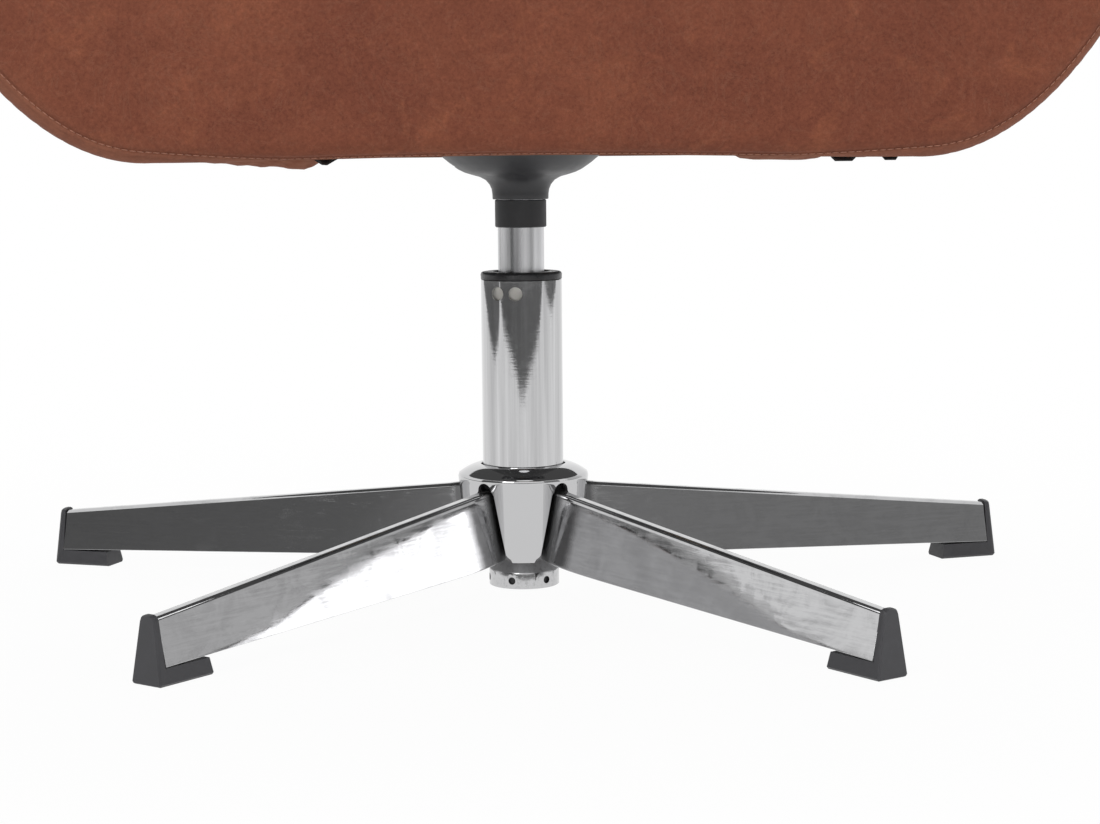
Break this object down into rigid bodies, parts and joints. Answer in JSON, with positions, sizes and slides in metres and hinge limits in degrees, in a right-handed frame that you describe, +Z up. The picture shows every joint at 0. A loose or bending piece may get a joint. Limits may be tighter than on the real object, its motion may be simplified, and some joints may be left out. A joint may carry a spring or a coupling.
{
  "type": "swivel rocker chair",
  "caption": "Leather lounge chair on a chromed star base that swivels, rises on a gas column and rocks back on a sprung pivot.",
  "frame": {"origin": "on the floor, on the column's axis, in the middle of the chair's outline", "axes": "+Z up, -Y the way the chair faces, +X to the sitter's left"},
  "size_m": [0.6566, 0.77, 1],
  "materials": {
    "leather": "aged, lightly mottled, satin",
    "chrome": "mirror",
    "steel": "satin",
    "cover_plastic": "satin black",
    "foot_plastic": "finely grained black",
    "nylon": "natural nylon",
    "rubber": "matte",
    "wood": "raw birch",
    "black_cloth": "non-woven"
  },
  "bodies": {
    "base": {"hub_shell": "chrome", "hub_core": "steel", "leg_rear": "chrome", "foot_rear": "foot_plastic", "leg_left": "chrome", "foot_left": "foot_plastic", "leg_front_left": "chrome", "foot_front_left": "foot_plastic", "leg_front_right": "chrome", "foot_front_right": "foot_plastic", "leg_right": "chrome", "foot_right": "foot_plastic", "column_tube": "chrome", "tube_top_cap": "cover_plastic", "guide_bush": "nylon", "bottom_cup": "chrome", "thrust_washer_lower": "steel", "ball_cage": "steel"},
    "spindle": {"piston_rod": "steel", "thrust_washer_upper": "steel", "rubber_bumper": "rubber", "retaining_clip": "steel"},
    "lift_unit": {"gas_cylinder": "steel", "socket_collar": "cover_plastic", "dome_cover": "cover_plastic", "tilt_housing": "steel", "pivot_pin": "steel", "lever_pin": "steel", "tilt_spring_left": "steel", "tilt_spring_right": "steel"},
    "lever": {"release_lever": "steel", "lever_paddle": "cover_plastic"},
    "button": {"valve_button": "steel"},
    "seat": {"seat_plate": "steel", "pivot_bush_left": "nylon", "pivot_bush_right": "nylon", "plate_bolt_front_left": "steel", "plate_bolt_front_right": "steel", "plate_bolt_rear_left": "steel", "plate_bolt_rear_right": "steel", "side_rail_left": "wood", "side_rail_right": "wood", "front_rail": "wood", "rear_rail": "wood", "bottom_board": "wood", "seat_deck": "black_cloth", "dust_cover": "black_cloth", "front_panel": "leather", "arm_left": "leather", "arm_right": "leather", "arm_frame_left": "wood", "arm_frame_right": "wood", "outer_back": "leather", "back_frame": "wood", "seat_cushion": "leather", "back_cushion": "leather"}
  },
  "joints": [
    {"name": "swivel", "type": "hinge", "parent": "base", "child": "spindle", "pos_m": [0, 0, 0.03], "axis": [0, 0, 1], "continuous": true},
    {"name": "lift", "type": "slide", "parent": "spindle", "child": "lift_unit", "axis": [0, 0, 1], "range_m": [0, 0.06]},
    {"name": "rock", "type": "hinge", "parent": "lift_unit", "child": "seat", "pos_m": [0, 0, 0.285], "axis": [-1, 0, 0], "range_deg": [0, 12], "stiffness_Nm_per_rad": 160, "springref_deg": -14.32, "deforming": ["tilt_spring_left", "tilt_spring_right"]},
    {"name": "release", "type": "hinge", "parent": "lift_unit", "child": "lever", "pos_m": [-0.024, 0, 0.2699], "axis": [0, 1, 0], "range_deg": [0, 4.6], "stiffness_Nm_per_rad": 3, "springref_deg": -5.73},
    {"name": "valve", "type": "slide", "parent": "lift_unit", "child": "button", "axis": [0, 0, -1], "range_m": [0, 0.002]}
  ],
  "couplings": [
    {"joint": "valve", "follows": "release", "m_per_rad": 0.024}
  ]
}
